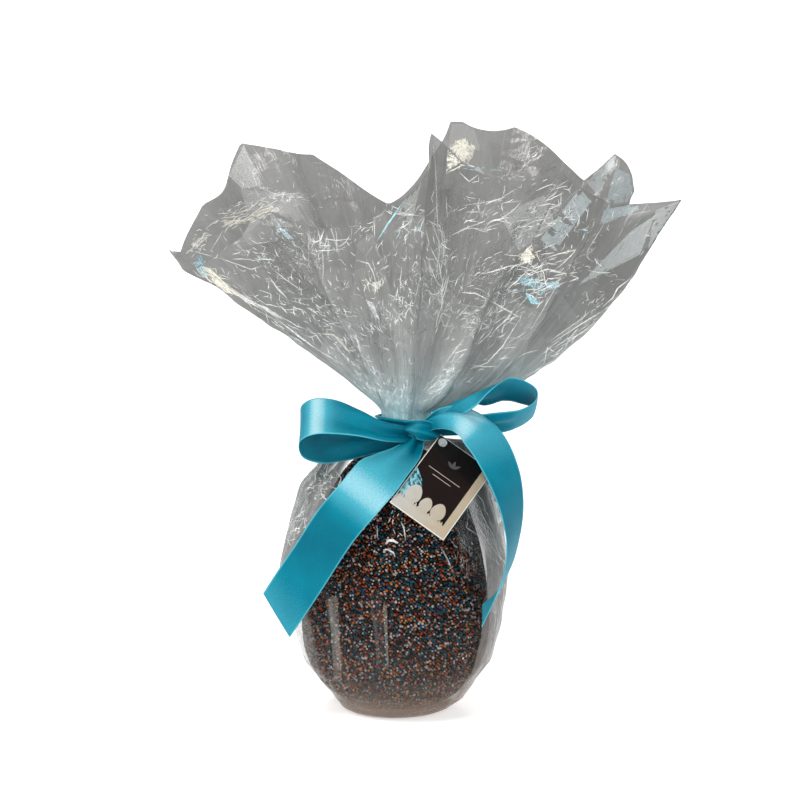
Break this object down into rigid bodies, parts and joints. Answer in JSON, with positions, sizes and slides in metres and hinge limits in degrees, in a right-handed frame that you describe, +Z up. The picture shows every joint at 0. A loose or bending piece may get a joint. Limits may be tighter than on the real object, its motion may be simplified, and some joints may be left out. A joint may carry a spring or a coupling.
{
  "type": "wrapped chocolate egg",
  "caption": "Upright chocolate egg covered in round sugar beads, in clear film gathered above it, tied with a satin ribbon bow and a small card tag.",
  "frame": {"origin": "centre of the flat base, under the middle of the egg", "axes": "+Z up through the egg and the gathered film, +X to the right seen from the front, +Y away from the viewer"},
  "size_m": [0.2684, 0.1275, 0.3132],
  "materials": {
    "clear_film": "crinkled clear film",
    "satin_ribbon": "satin",
    "printed_card": "glossy printed card",
    "clear_plastic": "clear",
    "chocolate": "dark chocolate",
    "sugar_beads": "round sugar beads"
  },
  "bodies": {
    "root": {"egg_in_film": "clear_film", "ribbon_bow": "satin_ribbon", "gift_tag": "printed_card", "tag_fastener": "clear_plastic"}
  },
  "joints": []
}
